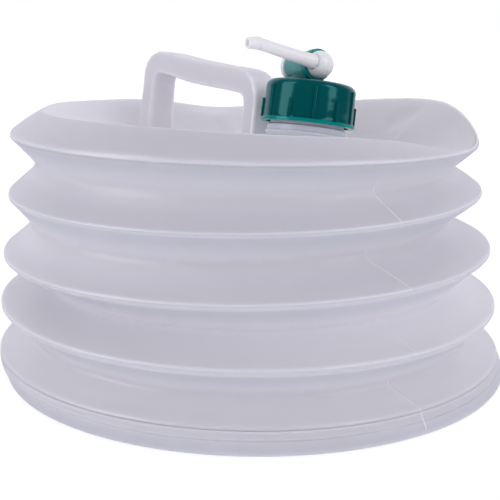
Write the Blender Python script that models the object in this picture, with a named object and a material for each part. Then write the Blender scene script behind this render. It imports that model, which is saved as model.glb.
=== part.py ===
"""Collapsible water carrier: an accordion bag with a carry handle, and a screw cap that holds a lever tap.

The bag is one blow moulding on the real object. Here it is divided where it bends when it is pressed flat:
a base pan, the folds, and a soft top that carries the neck and the hollow handle.
Frame: +Z up, origin at the centre of the base's underside. +X runs from the handle to the neck.
"""
import math

import bmesh
import bpy
from mathutils import Matrix, Vector

for old in list(bpy.data.objects):
    bpy.data.objects.remove(old, do_unlink=True)

MM = 0.001
DEG = math.pi / 180
TURN = 2 * math.pi

# Clearances and overruns shared by all pieces
SEAT_GAP = 0.3 * MM
RUNNING_GAP = 0.3 * MM
OVERRUN = 2.0 * MM
FUSE = 0.4 * MM
MERGE_DISTANCE = 0.001 * MM

# Bag: base pan and folds
BASE_RADIUS = 148.2 * MM
BASE_CORNER = 6.0 * MM
BASE_RIM_HEIGHT = 15.3 * MM
BASE_LINE_HEIGHT = 10.0 * MM
BASE_RECESS_RADIUS = 112.0 * MM
BASE_RECESS_DEPTH = 2.0 * MM
BASE_RECESS_RAMP = 5.0 * MM
LOWEST_PITCH = 28.6 * MM
FOLD_PITCH = 31.3 * MM
RIDGE_BAND = 2.4 * MM
BAG_WALL = 1.2 * MM
FOLD_WALL = 1.5 * MM
# From the base upwards: ridges as shares of the base radius, and the grooves between them
# as shares of the base radius and of the height from one ridge to the next.
RIDGE_RADIUS_SHARES = (0.995, 0.977, 0.958, 0.908, 0.913)
GROOVE_RADIUS_SHARES = (0.857, 0.800, 0.797, 0.797)
GROOVE_HEIGHT_SHARES = (0.37, 0.40, 0.465, 0.495)

# Bag: soft top, which has settled towards +Y
CREST_INSET = 17.3 * MM
CREST_RISE = 10.2 * MM
CREST_ROUND = 5.0 * MM
FLOOR_DEPTH = 18.0 * MM
DISH_RUN = 34.0 * MM
FLOOR_ROUND = 8.0 * MM
FLOOR_LEAN = 7.5 * DEG
RIM_LEAN = 1.7 * DEG
# The crest has sunk in two places; each sag has a depth, a direction and a half width.
BACK_SAG_DEPTH = 10.0 * MM
BACK_SAG_ANGLE = 148.0 * DEG
BACK_SAG_HALF = 60.0 * DEG
SIDE_SAG_DEPTH = 8.0 * MM
SIDE_SAG_ANGLE = 28.0 * DEG
SIDE_SAG_HALF = 34.0 * DEG

# Carry handle, in the leaning plane of the floor
HANDLE_WIDTH = 18.0 * MM
HANDLE_OUTER_X = -99.0 * MM
HANDLE_LENGTH = 110.8 * MM
OUTER_LEG = 12.0 * MM
INNER_LEG = 11.0 * MM
HANDLE_HEIGHT = 51.0 * MM
HANDLE_SLOPE = 4.7 * DEG
HANDLE_BAR = 15.0 * MM
HANDLE_OUTER_ROUND = 15.0 * MM
HANDLE_INNER_ROUND = 8.0 * MM
HANDLE_EDGE_ROUND = 2.2 * MM
HANDLE_WALL = 1.3 * MM

# Neck
NECK_FROM_HANDLE = 33.9 * MM
NECK_LEAN_Y = 11.5 * DEG
NECK_LEAN_X = -3.7 * DEG
NECK_HEIGHT = 34.7 * MM
NECK_BORE = 17.0 * MM
NECK_ROOT_RADIUS = 20.4 * MM
NECK_COLLAR_RADIUS = 21.8 * MM
NECK_COLLAR_TOP = 14.6 * MM
NECK_COLLAR_FOOT = 8.6 * MM
NECK_BEAD_RADIUS = 22.6 * MM
NECK_BEAD_HEIGHT = 10.4 * MM
NECK_BEAD_WIDTH = 1.8 * MM
NECK_RIM_ROUND = 0.8 * MM

# Screw thread
THREAD_PITCH = 6.0 * MM
THREAD_DEPTH = 1.6 * MM
THREAD_FOOT = 2.2 * MM
THREAD_TIP = 1.2 * MM
THREAD_START = 21.0 * MM
NECK_THREAD_TURNS = 1.6
CAP_THREAD_TURNS = 1.5
THREAD_STEPS = 32

# Screw cap
CAP_SEAT = 15.9 * MM
CAP_HEIGHT = 23.4 * MM
CAP_RADIUS = 24.9 * MM
CAP_DRAFT = 0.3 * MM
CAP_FLANGE_RADIUS = 26.1 * MM
CAP_FLANGE_HEIGHT = 1.8 * MM
CAP_EDGE_ROUND = 3.2 * MM
CAP_DOME = 0.5 * MM
CAP_BORE = 22.7 * MM
CAP_TOP_WALL = 2.4 * MM
RIB_COUNT = 12
RIB_WIDTH = 1.7 * MM
TALL_RIB_PROUD = 0.8 * MM
TALL_RIB_HEIGHT = 19.0 * MM
SHORT_RIB_PROUD = 1.15 * MM
SHORT_RIB_HEIGHT = 12.0 * MM
RIB_ANGLE = -38.0 * DEG

# Gasket
GASKET_THICKNESS = 1.6 * MM
GASKET_BORE = 15.5 * MM
GASKET_SIDE_GAP = 0.4 * MM

# Tap barrel, along its own X axis; the cap's axis crosses it at zero
BARREL_ANGLE = -13.0 * DEG
BARREL_LIFT = 9.5 * MM
BARREL_REAR = -19.0 * MM
BARREL_FRONT = 4.4 * MM
BARREL_RADIUS = 8.0 * MM
BARREL_COLLAR_RADIUS = 8.9 * MM
BARREL_COLLAR_LENGTH = 4.6 * MM
BARREL_BORE = 5.5 * MM
SADDLE_WIDTH = 11.0 * MM
SADDLE_INSET = 2.0 * MM
PORT_PLACE = -7.5 * MM
PORT_RADIUS = 2.2 * MM

# Lever with rotor and spout
ROTOR_BORE = 2.3 * MM
ROTOR_BORE_PAST_PORT = 4.0 * MM
ROTOR_STUB_RADIUS = 3.0 * MM
ROTOR_STUB_LENGTH = 2.6 * MM
HUB_RADIUS = 7.6 * MM
HUB_SKIRT = 2.0 * MM
HUB_DOME = 5.6 * MM
SPOUT_PLACE = 3.7 * MM
SPOUT_ANGLE = 7.0 * DEG
SPOUT_SWING = 166.0 * DEG
SPOUT_REACH = 38.0 * MM
SPOUT_RADIUS = 3.3 * MM
SPOUT_BORE = 1.9 * MM
NOZZLE_LENGTH = 9.0 * MM
NOZZLE_BEND = 15.0 * DEG
NOZZLE_RADIUS = 3.6 * MM
NOZZLE_TIP_RADIUS = 3.0 * MM

# Sealing rings and end cap
RING_SPACING = 9.0 * MM
RING_RADIUS = 4.7 * MM
RING_SECTION = 0.55 * MM
RING_GROOVE_GAP = 0.25 * MM
END_CAP_RADIUS = 8.9 * MM
END_CAP_THICKNESS = 4.0 * MM
END_CAP_ROUND = 1.2 * MM

# How finely round shapes are divided
BAG_SEGMENTS = 64
CAP_SEGMENTS = 48
TAP_SEGMENTS = 28
RING_SEGMENTS = 24
SECTION_SEGMENTS = 8
ARC_STEPS = 4
EDGE_STEPS = 2
SMOOTH_ANGLE = 35 * DEG

# Heights and radii that follow
ridge_heights = [BASE_RIM_HEIGHT, BASE_RIM_HEIGHT + LOWEST_PITCH]
while len(ridge_heights) < len(RIDGE_RADIUS_SHARES):
    ridge_heights.append(ridge_heights[-1] + FOLD_PITCH)
ridges = [(BASE_RADIUS * share, height) for share, height in zip(RIDGE_RADIUS_SHARES, ridge_heights)]
grooves = [
    (BASE_RADIUS * radius_share, low + (high - low) * height_share)
    for radius_share, height_share, low, high in zip(
        GROOVE_RADIUS_SHARES, GROOVE_HEIGHT_SHARES, ridge_heights, ridge_heights[1:])
]
rim_radius, rim_height = ridges[-1]
crest_radius = rim_radius - CREST_INSET
crest_height = rim_height + CREST_RISE
floor_radius = crest_radius - DISH_RUN
floor_height = crest_height - FLOOR_DEPTH
neck_x = HANDLE_OUTER_X + HANDLE_LENGTH + NECK_FROM_HANDLE
rotor_radius = BARREL_BORE - RUNNING_GAP
barrel_height = CAP_HEIGHT + BARREL_LIFT


def plastic(name, color, roughness, transmission=0.0):
    """A Principled material for one of the object's plastics or rubbers."""
    material = bpy.data.materials.new(name)
    material.use_nodes = True
    shader = material.node_tree.nodes["Principled BSDF"]
    shader.inputs["Base Color"].default_value = (*color, 1.0)
    shader.inputs["Roughness"].default_value = roughness
    shader.inputs["Metallic"].default_value = 0.0
    shader.inputs["Transmission Weight"].default_value = transmission
    material.diffuse_color = (*color, 1.0)
    return material


natural_ldpe = plastic("natural_ldpe", (0.55, 0.55, 0.62), 0.38, 0.25)
cap_green = plastic("cap_green", (0.0, 0.085, 0.085), 0.16)
spout_white = plastic("spout_white", (0.72, 0.72, 0.76), 0.32)
seal_rubber = plastic("seal_rubber", (0.07, 0.07, 0.08), 0.7)


def frame_empty(name, location, rotation=(0.0, 0.0, 0.0), parent=None):
    """An empty that carries pieces in a leaning or turned frame."""
    empty = bpy.data.objects.new(name, None)
    empty.location = location
    empty.rotation_euler = rotation
    empty.parent = parent
    bpy.context.collection.objects.link(empty)
    return empty


def finish(name, bm, material=None, parent=None):
    """Turn a bmesh into a named object, faces out and shaded smooth."""
    bmesh.ops.recalc_face_normals(bm, faces=bm.faces)
    mesh = bpy.data.meshes.new(name)
    bm.to_mesh(mesh)
    bm.free()
    mesh.shade_smooth()
    mesh.set_sharp_from_angle(angle=SMOOTH_ANGLE)
    piece = bpy.data.objects.new(name, mesh)
    piece.parent = parent
    bpy.context.collection.objects.link(piece)
    if material:
        mesh.materials.append(material)
    return piece


def helper(name, bm, parent=None):
    """A shape that only cuts or joins another: it is not a piece of the object."""
    shape = finish(name, bm, None, parent)
    shape.hide_render = True
    shape.display_type = "WIRE"
    return shape


def combine(piece, shape, operation):
    """Cut the shape out of the piece, or fuse the two."""
    boolean = piece.modifiers.new(shape.name, "BOOLEAN")
    boolean.operation = operation
    boolean.object = shape
    boolean.solver = "EXACT"


def spun(points, segments, along_x=False):
    """Turn a closed (radius, height) outline about Z, or about X when along_x is set."""
    bm = bmesh.new()
    verts = [bm.verts.new((radius, 0.0, height)) for radius, height in points]
    edges = [bm.edges.new(pair) for pair in zip(verts, verts[1:])]
    if points[0][0] > 0.0 or points[-1][0] > 0.0:
        edges.append(bm.edges.new((verts[-1], verts[0])))
    bmesh.ops.spin(bm, geom=verts + edges, cent=(0, 0, 0), axis=(0, 0, 1), angle=TURN, steps=segments,
                   use_merge=True)
    bmesh.ops.remove_doubles(bm, verts=bm.verts, dist=MERGE_DISTANCE)
    if along_x:
        bm.transform(Matrix.Rotation(math.pi / 2, 4, "Y"))
    return bm


def block(low, high):
    """A box between two corners."""
    bm = bmesh.new()
    size = Vector(high) - Vector(low)
    middle = (Vector(high) + Vector(low)) / 2
    bmesh.ops.create_cube(bm, size=1.0, matrix=Matrix.Translation(middle) @ Matrix.Diagonal((*size, 1.0)))
    return bm


def rod(radius, low, high, segments, along_x=False):
    """A plain round rod on the axis, from low to high."""
    return spun([(0.0, low), (radius, low), (radius, high), (0.0, high)], segments, along_x)


def arc(center, radius, start, end, steps=ARC_STEPS):
    """Points on an arc, with both ends."""
    angles = [start + (end - start) * step / steps for step in range(steps + 1)]
    return [(center[0] + radius * math.cos(a), center[1] + radius * math.sin(a)) for a in angles]


def crest_sag(angle):
    """How far the crest has sunk in one direction."""
    total = 0.0
    for depth, middle, half in ((BACK_SAG_DEPTH, BACK_SAG_ANGLE, BACK_SAG_HALF),
                                (SIDE_SAG_DEPTH, SIDE_SAG_ANGLE, SIDE_SAG_HALF)):
        away = abs((angle - middle + math.pi) % TURN - math.pi)
        if away < half:
            total += depth * math.cos(math.pi / 2 * away / half) ** 2
    return total


def settle(bm, stops):
    """Lean rings towards +Y and let the crest sag; stops are (radius, lean, share of the sag)."""
    for vert in bm.verts:
        radius = math.hypot(vert.co.x, vert.co.y)
        lean, share = stops[0][1:] if radius <= stops[0][0] else stops[-1][1:]
        for (inner, inner_lean, inner_share), (outer, outer_lean, outer_share) in zip(stops, stops[1:]):
            if inner <= radius <= outer:
                along = (radius - inner) / (outer - inner)
                lean = inner_lean + (outer_lean - inner_lean) * along
                share = inner_share + (outer_share - inner_share) * along
        vert.co.z -= math.tan(lean) * vert.co.y + share * crest_sag(math.atan2(vert.co.y, vert.co.x))


def tube(path, radii, segments):
    """A closed tube through points in the YZ plane, with one radius at each point."""
    bm = bmesh.new()
    rings = []
    for index, (point, radius) in enumerate(zip(path, radii)):
        before = path[max(index - 1, 0)]
        after = path[min(index + 1, len(path) - 1)]
        along = (Vector(after) - Vector(before)).normalized()
        side = Vector((1, 0, 0))
        up = side.cross(along)
        ring = []
        for step in range(segments):
            angle = TURN * step / segments
            ring.append(bm.verts.new(Vector(point) + (side * math.cos(angle) + up * math.sin(angle)) * radius))
        rings.append(ring)
    for ring, following in zip(rings, rings[1:]):
        for step in range(segments):
            after = (step + 1) % segments
            bm.faces.new((ring[step], ring[after], following[after], following[step]))
    bm.faces.new(rings[0])
    bm.faces.new(rings[-1])
    return bm


def thread(wall_radius, depth, start, turns):
    """A helical thread ridge that stands on a wall; depth is negative for a thread that points inwards."""
    foot = wall_radius - math.copysign(FUSE, depth)
    crest = wall_radius + depth
    section = [(foot, -THREAD_FOOT / 2), (crest, -THREAD_TIP / 2),
               (crest, THREAD_TIP / 2), (foot, THREAD_FOOT / 2)]
    bm = bmesh.new()
    count = round(turns * THREAD_STEPS)
    rings = []
    for step in range(count + 1):
        angle = TURN * step / THREAD_STEPS
        height = start + THREAD_PITCH * step / THREAD_STEPS
        rings.append([bm.verts.new((r * math.cos(angle), r * math.sin(angle), height + z)) for r, z in section])
    for ring, following in zip(rings, rings[1:]):
        for index in range(len(section)):
            after = (index + 1) % len(section)
            bm.faces.new((ring[index], ring[after], following[after], following[index]))
    bm.faces.new(rings[0])
    bm.faces.new(rings[-1])
    return bm


# Base pan: a flat foot ring round a shallow recess, and a low wall that ends at the lowest ridge
def base_pan():
    corner = (BASE_RADIUS - BASE_CORNER, BASE_CORNER)
    top_radius, top_height = ridges[0]
    edge_height = top_height - SEAT_GAP / 2
    outside = [(0.0, BASE_RECESS_DEPTH), (BASE_RECESS_RADIUS, BASE_RECESS_DEPTH),
               (BASE_RECESS_RADIUS + BASE_RECESS_RAMP, 0.0)]
    outside += arc(corner, BASE_CORNER, -math.pi / 2, 0.0)
    outside += [(BASE_RADIUS, BASE_LINE_HEIGHT), (top_radius, edge_height)]
    inside = [(top_radius - BAG_WALL, edge_height), (BASE_RADIUS - BAG_WALL, BASE_LINE_HEIGHT)]
    inside += arc(corner, BASE_CORNER - BAG_WALL, 0.0, -math.pi / 2)
    inside += [(BASE_RECESS_RADIUS + BASE_RECESS_RAMP, BAG_WALL),
               (BASE_RECESS_RADIUS, BASE_RECESS_DEPTH + BAG_WALL), (0.0, BASE_RECESS_DEPTH + BAG_WALL)]
    return finish("base_pan", spun(outside + inside, BAG_SEGMENTS), natural_ldpe)


# Folds: each full fold runs from groove to groove round one ridge; the first and the last are half folds
def fold(name, lower, ridge, upper, stops=None):
    radius, height = ridge
    outline = []
    if lower:
        outline += [(lower[0], lower[1] + SEAT_GAP / 2), (radius, height - RIDGE_BAND / 2)]
    if lower and upper:
        outline += [(radius, height + RIDGE_BAND / 2)]
    if not lower:
        outline += [(radius, height + SEAT_GAP / 2), (radius, height + RIDGE_BAND / 2)]
    if upper:
        outline += [(upper[0], upper[1] - SEAT_GAP / 2)]
    else:
        outline += [(radius, height - SEAT_GAP / 2)]
    inner = [(r - FOLD_WALL, z) for r, z in reversed(outline)]
    bm = spun(outline + inner, BAG_SEGMENTS)
    if stops:
        settle(bm, stops)
    return finish(name, bm, natural_ldpe)


# Soft top: a short cone from the highest ridge to the crest, then a dish whose floor leans
panel_upper = [
    (rim_radius, rim_height + SEAT_GAP / 2), (rim_radius, rim_height + (SEAT_GAP + RIDGE_BAND) / 2),
    (crest_radius + CREST_ROUND / 2, crest_height - CREST_ROUND / 4), (crest_radius, crest_height),
    (crest_radius - CREST_ROUND, crest_height - CREST_ROUND / 4),
    (floor_radius + FLOOR_ROUND, floor_height + FLOOR_ROUND / 4), (floor_radius, floor_height),
    (0.0, floor_height)]
rim_stop = (rim_radius - FOLD_WALL, RIM_LEAN, 0.0)
panel_stops = [(floor_radius, FLOOR_LEAN, 0.0), (crest_radius, 0.0, 1.0), rim_stop]


def top_panel():
    lower = [(radius, height - BAG_WALL) for radius, height in reversed(panel_upper[2:])]
    lower += [(radius - FOLD_WALL, height) for radius, height in reversed(panel_upper[:2])]
    bm = spun(panel_upper + lower, BAG_SEGMENTS)
    settle(bm, panel_stops)
    panel = finish("top_panel", bm, natural_ldpe)
    hole = rod(NECK_BORE, -NECK_BORE, NECK_BORE, CAP_SEGMENTS)
    combine(panel, helper("neck_hole", hole, neck_frame), "DIFFERENCE")
    combine(panel, handle_hollow, "DIFFERENCE")
    return panel


def under_panel():
    """All that lies below the top's upper face and the seat gap: it trims the feet of the handle and neck."""
    outline = [(radius, height + SEAT_GAP) for radius, height in panel_upper]
    outline = [(rim_radius, 0.0)] + outline + [(0.0, 0.0)]
    bm = spun(outline, BAG_SEGMENTS)
    settle(bm, panel_stops)
    return helper("under_panel", bm)


# Handle: a hollow loop, open into the bag at both legs
def handle_outline(inset, foot):
    left = HANDLE_OUTER_X + inset
    right = HANDLE_OUTER_X + HANDLE_LENGTH - inset
    drop = math.tan(HANDLE_SLOPE)
    outer_round = HANDLE_OUTER_ROUND - inset
    inner_round = HANDLE_INNER_ROUND + inset

    def top(x):
        return HANDLE_HEIGHT - inset - drop * (x - HANDLE_OUTER_X - HANDLE_OUTER_ROUND)

    def under(x):
        return HANDLE_HEIGHT - HANDLE_BAR + inset - drop * (x - HANDLE_OUTER_X - HANDLE_OUTER_ROUND)

    inner_left = HANDLE_OUTER_X + OUTER_LEG - inset
    inner_right = HANDLE_OUTER_X + HANDLE_LENGTH - INNER_LEG + inset
    up = math.pi / 2
    points = [(left, foot)]
    center = left + outer_round
    points += arc((center, top(center) - outer_round), outer_round, math.pi, up)
    center = right - outer_round
    points += arc((center, top(center) - outer_round), outer_round, up, 0.0)
    points += [(right, foot), (inner_right, foot)]
    center = inner_right - inner_round
    points += arc((center, under(center) - inner_round), inner_round, 0.0, up)
    center = inner_left + inner_round
    points += arc((center, under(center) - inner_round), inner_round, up, math.pi)
    points += [(inner_left, foot)]
    return points


def handle_body(inset, foot):
    half = HANDLE_WIDTH / 2 - inset
    bm = bmesh.new()
    face = bm.faces.new([bm.verts.new((x, -half, z)) for x, z in handle_outline(inset, foot)])
    extruded = bmesh.ops.extrude_face_region(bm, geom=[face])
    moved = [item for item in extruded["geom"] if isinstance(item, bmesh.types.BMVert)]
    bmesh.ops.translate(bm, verts=moved, vec=(0.0, 2 * half, 0.0))
    bmesh.ops.recalc_face_normals(bm, faces=bm.faces)
    return bm


def carry_handle():
    bm = handle_body(0.0, -OVERRUN)
    sides = [edge for edge in bm.edges
             if abs(edge.verts[0].co.y - edge.verts[1].co.y) < SEAT_GAP
             and max(vert.co.z for vert in edge.verts) > 0.0]
    bmesh.ops.bevel(bm, geom=sides, offset=HANDLE_EDGE_ROUND, segments=EDGE_STEPS, profile=0.5, affect="EDGES")
    handle = finish("carry_handle", bm, natural_ldpe, floor_frame)
    combine(handle, handle_hollow, "DIFFERENCE")
    combine(handle, trimmer, "DIFFERENCE")
    return handle


# Neck: a tube that stands on the floor of the top, with a collar, a bead and the screw thread
def neck():
    foot = -NECK_ROOT_RADIUS
    bead_low = NECK_BEAD_HEIGHT - NECK_BEAD_WIDTH / 2
    bead_high = NECK_BEAD_HEIGHT + NECK_BEAD_WIDTH / 2
    outside = [(NECK_ROOT_RADIUS, foot), (NECK_ROOT_RADIUS, NECK_COLLAR_FOOT), (NECK_COLLAR_RADIUS, bead_low),
               (NECK_BEAD_RADIUS, NECK_BEAD_HEIGHT), (NECK_COLLAR_RADIUS, bead_high),
               (NECK_COLLAR_RADIUS, NECK_COLLAR_TOP), (NECK_ROOT_RADIUS, NECK_COLLAR_TOP + NECK_RIM_ROUND),
               (NECK_ROOT_RADIUS, NECK_HEIGHT - NECK_RIM_ROUND),
               (NECK_ROOT_RADIUS - NECK_RIM_ROUND, NECK_HEIGHT)]
    inside = [(NECK_BORE, NECK_HEIGHT), (NECK_BORE, foot)]
    tower = finish("neck", spun(outside + inside, CAP_SEGMENTS), natural_ldpe, neck_frame)
    ridge = thread(NECK_ROOT_RADIUS, THREAD_DEPTH, THREAD_START, NECK_THREAD_TURNS)
    combine(tower, helper("neck_thread", ridge, neck_frame), "UNION")
    combine(tower, trimmer, "DIFFERENCE")
    return tower


# Screw cap: ribbed skirt, flange and domed top in one moulding with the tap barrel and its saddle
def cap_ribs():
    """Grip ribs, by turns tall and short; the short ones stand out as far as the flange."""
    bm = bmesh.new()
    for index in range(RIB_COUNT):
        proud, height = (SHORT_RIB_PROUD, SHORT_RIB_HEIGHT) if index % 2 else (TALL_RIB_PROUD, TALL_RIB_HEIGHT)
        rib = block((CAP_RADIUS - CAP_DRAFT - FUSE, -RIB_WIDTH / 2, FUSE),
                    (CAP_RADIUS + proud, RIB_WIDTH / 2, height))
        rib.transform(Matrix.Rotation(RIB_ANGLE + TURN * index / RIB_COUNT, 4, "Z"))
        mesh = bpy.data.meshes.new("rib")
        rib.to_mesh(mesh)
        rib.free()
        bm.from_mesh(mesh)
        bpy.data.meshes.remove(mesh)
    return bm


def screw_cap():
    top_radius = CAP_RADIUS - CAP_DRAFT
    ceiling = CAP_HEIGHT - CAP_TOP_WALL
    edge = (top_radius - CAP_EDGE_ROUND, CAP_HEIGHT - CAP_DOME - CAP_EDGE_ROUND)
    outline = [(CAP_BORE, 0.0), (CAP_FLANGE_RADIUS, 0.0), (CAP_FLANGE_RADIUS, CAP_FLANGE_HEIGHT),
               (CAP_RADIUS, CAP_FLANGE_HEIGHT + CAP_FLANGE_RADIUS - CAP_RADIUS)]
    outline += arc(edge, CAP_EDGE_ROUND, 0.0, math.pi / 2)
    outline += [(0.0, CAP_HEIGHT), (0.0, ceiling), (CAP_BORE, ceiling)]
    cap = finish("screw_cap", spun(outline, CAP_SEGMENTS), cap_green, cap_frame)
    combine(cap, helper("cap_rib_set", cap_ribs(), cap_frame), "UNION")
    ridge = thread(CAP_BORE, -THREAD_DEPTH, THREAD_START - THREAD_PITCH / 2 - CAP_SEAT, CAP_THREAD_TURNS)
    combine(cap, helper("cap_thread", ridge, cap_frame), "UNION")
    saddle = block((BARREL_REAR + SADDLE_INSET, -SADDLE_WIDTH / 2, -BARREL_LIFT - FUSE - CAP_DOME),
                   (BARREL_FRONT - SADDLE_INSET, SADDLE_WIDTH / 2, 0.0))
    combine(cap, helper("barrel_saddle", saddle, barrel_frame), "UNION")
    collar_start = BARREL_FRONT - BARREL_COLLAR_LENGTH
    barrel = [(0.0, BARREL_REAR), (BARREL_RADIUS, BARREL_REAR), (BARREL_RADIUS, collar_start),
              (BARREL_COLLAR_RADIUS, collar_start), (BARREL_COLLAR_RADIUS, BARREL_FRONT), (0.0, BARREL_FRONT)]
    combine(cap, helper("tap_barrel", spun(barrel, TAP_SEGMENTS, True), barrel_frame), "UNION")
    bore = rod(BARREL_BORE, BARREL_REAR - OVERRUN, BARREL_FRONT + OVERRUN, TAP_SEGMENTS, True)
    combine(cap, helper("barrel_bore", bore, barrel_frame), "DIFFERENCE")
    port = rod(PORT_RADIUS, -BARREL_LIFT - CAP_TOP_WALL - OVERRUN, 0.0, TAP_SEGMENTS)
    port.transform(Matrix.Translation((PORT_PLACE, 0.0, 0.0)))
    combine(cap, helper("cap_port", port, barrel_frame), "DIFFERENCE")
    return cap


def cap_gasket():
    high = CAP_HEIGHT - CAP_TOP_WALL - SEAT_GAP
    low = high - GASKET_THICKNESS
    outer = CAP_BORE - GASKET_SIDE_GAP
    ring = [(GASKET_BORE, low), (outer, low), (outer, high), (GASKET_BORE, high)]
    return finish("cap_gasket", spun(ring, CAP_SEGMENTS), seal_rubber, cap_frame)


# Lever: rotor plug, domed hub and bent spout in one moulding, with the water way through all three
ring_places = (PORT_PLACE - RING_SPACING / 2 - RING_SECTION, PORT_PLACE + RING_SPACING / 2 + RING_SECTION)


def spout_path():
    start = Vector((SPOUT_PLACE + BARREL_FRONT + SEAT_GAP, 0.0, 0.0))
    along = Vector((0.0, -math.cos(SPOUT_ANGLE), math.sin(SPOUT_ANGLE)))
    bent = SPOUT_ANGLE - NOZZLE_BEND
    onward = Vector((0.0, -math.cos(bent), math.sin(bent)))
    return start, along, onward


def spout_lever():
    groove_floor = RING_RADIUS - RING_SECTION - RING_GROOVE_GAP
    groove_half = RING_SECTION + RING_GROOVE_GAP
    stub_end = BARREL_REAR - ROTOR_STUB_LENGTH
    hub_foot = BARREL_FRONT + SEAT_GAP
    outline = [(0.0, stub_end), (ROTOR_STUB_RADIUS, stub_end), (ROTOR_STUB_RADIUS, BARREL_REAR),
               (rotor_radius, BARREL_REAR)]
    for place in ring_places:
        outline += [(rotor_radius, place - groove_half), (groove_floor, place - groove_half),
                    (groove_floor, place + groove_half), (rotor_radius, place + groove_half)]
    outline += [(rotor_radius, hub_foot), (HUB_RADIUS, hub_foot), (HUB_RADIUS, hub_foot + HUB_SKIRT)]
    for step in range(1, ARC_STEPS + 1):
        angle = math.pi / 2 * step / ARC_STEPS
        radius = HUB_RADIUS * math.cos(angle) if step < ARC_STEPS else 0.0
        outline.append((radius, hub_foot + HUB_SKIRT + HUB_DOME * math.sin(angle)))
    lever = finish("spout_lever", spun(outline, TAP_SEGMENTS, True), spout_white, lever_frame)

    start, along, onward = spout_path()
    elbow = start + along * SPOUT_REACH
    mouth = elbow + onward * NOZZLE_LENGTH
    ease = along * NOZZLE_RADIUS
    path = [start, elbow - ease, elbow, mouth]
    outer = tube(path, [SPOUT_RADIUS, SPOUT_RADIUS, NOZZLE_RADIUS, NOZZLE_TIP_RADIUS], TAP_SEGMENTS // 2)
    combine(lever, helper("spout_tube", outer, lever_frame), "UNION")
    way = [start, elbow - ease, elbow, mouth + onward * OVERRUN]
    inner = tube(way, [SPOUT_BORE] * len(way), TAP_SEGMENTS // 2)
    combine(lever, helper("spout_way", inner, lever_frame), "DIFFERENCE")
    bore = rod(ROTOR_BORE, PORT_PLACE - ROTOR_BORE_PAST_PORT, start.x, TAP_SEGMENTS // 2, True)
    combine(lever, helper("rotor_bore", bore, lever_frame), "DIFFERENCE")
    side_port = rod(PORT_RADIUS, 0.0, rotor_radius + OVERRUN, TAP_SEGMENTS // 2)
    side_port.transform(Matrix.Rotation(math.pi + SPOUT_SWING, 4, "X"))
    side_port.transform(Matrix.Translation((PORT_PLACE, 0.0, 0.0)))
    combine(lever, helper("rotor_port", side_port, lever_frame), "DIFFERENCE")
    return lever


def rotor_ring(name, place):
    angles = [TURN * step / SECTION_SEGMENTS for step in range(SECTION_SEGMENTS)]
    section = [(RING_RADIUS + RING_SECTION * math.cos(angle), place + RING_SECTION * math.sin(angle))
               for angle in angles]
    return finish(name, spun(section, RING_SEGMENTS, True), seal_rubber, lever_frame)


def rotor_end_cap():
    front = BARREL_REAR - SEAT_GAP
    back = front - END_CAP_THICKNESS
    socket = ROTOR_STUB_RADIUS + SEAT_GAP
    socket_end = BARREL_REAR - ROTOR_STUB_LENGTH - SEAT_GAP
    edge = (END_CAP_RADIUS - END_CAP_ROUND, back + END_CAP_ROUND)
    outline = [(0.0, back)]
    outline += arc(edge, END_CAP_ROUND, -math.pi / 2, 0.0, EDGE_STEPS)
    outline += [(END_CAP_RADIUS, front), (socket, front), (socket, socket_end), (0.0, socket_end)]
    return finish("rotor_end_cap", spun(outline, TAP_SEGMENTS, True), spout_white, lever_frame)


# Frames: the floor of the top leans, the neck leans further, and the lever turns in the barrel
floor_frame = frame_empty("floor_frame", (0.0, 0.0, floor_height), (-FLOOR_LEAN, 0.0, 0.0))
neck_frame = frame_empty("neck_frame", (neck_x, 0.0, floor_height), (-NECK_LEAN_Y, NECK_LEAN_X, 0.0))
cap_frame = frame_empty("cap_frame", (0.0, 0.0, CAP_SEAT), parent=neck_frame)
barrel_frame = frame_empty("barrel_frame", (0.0, 0.0, barrel_height), (0.0, 0.0, BARREL_ANGLE), cap_frame)
lever_frame = frame_empty("lever_frame", (0.0, 0.0, 0.0), parent=barrel_frame)

handle_hollow = helper("handle_hollow", handle_body(HANDLE_WALL, -HANDLE_WIDTH), floor_frame)
trimmer = under_panel()
base_pan()
fold("fold_5", None, ridges[0], grooves[0])
fold("fold_4", grooves[0], ridges[1], grooves[1])
fold("fold_3", grooves[1], ridges[2], grooves[2])
fold("fold_2", grooves[2], ridges[3], grooves[3])
fold("fold_1", grooves[3], ridges[4], None, [(grooves[3][0], 0.0, 0.0), rim_stop])
top_panel()
carry_handle()
neck()
screw_cap()
cap_gasket()
spout_lever()
rotor_end_cap()
rotor_ring("rotor_ring_rear", ring_places[0])
rotor_ring("rotor_ring_front", ring_places[1])
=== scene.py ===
import math

import bmesh
import bpy
from mathutils import Matrix, Vector


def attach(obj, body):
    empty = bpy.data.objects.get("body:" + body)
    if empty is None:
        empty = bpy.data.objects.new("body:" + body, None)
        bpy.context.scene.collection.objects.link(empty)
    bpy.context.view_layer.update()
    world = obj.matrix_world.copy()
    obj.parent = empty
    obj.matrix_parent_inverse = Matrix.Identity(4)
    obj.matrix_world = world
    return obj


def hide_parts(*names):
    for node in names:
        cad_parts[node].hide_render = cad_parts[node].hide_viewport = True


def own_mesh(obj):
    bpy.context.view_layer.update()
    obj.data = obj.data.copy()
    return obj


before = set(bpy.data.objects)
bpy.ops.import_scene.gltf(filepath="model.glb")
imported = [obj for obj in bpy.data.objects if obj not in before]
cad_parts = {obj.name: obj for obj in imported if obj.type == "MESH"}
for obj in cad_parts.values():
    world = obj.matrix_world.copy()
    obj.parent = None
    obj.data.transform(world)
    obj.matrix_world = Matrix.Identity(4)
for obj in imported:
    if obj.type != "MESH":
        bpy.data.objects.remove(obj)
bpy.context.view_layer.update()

MM = 0.001
DEG = math.pi / 180

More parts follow.
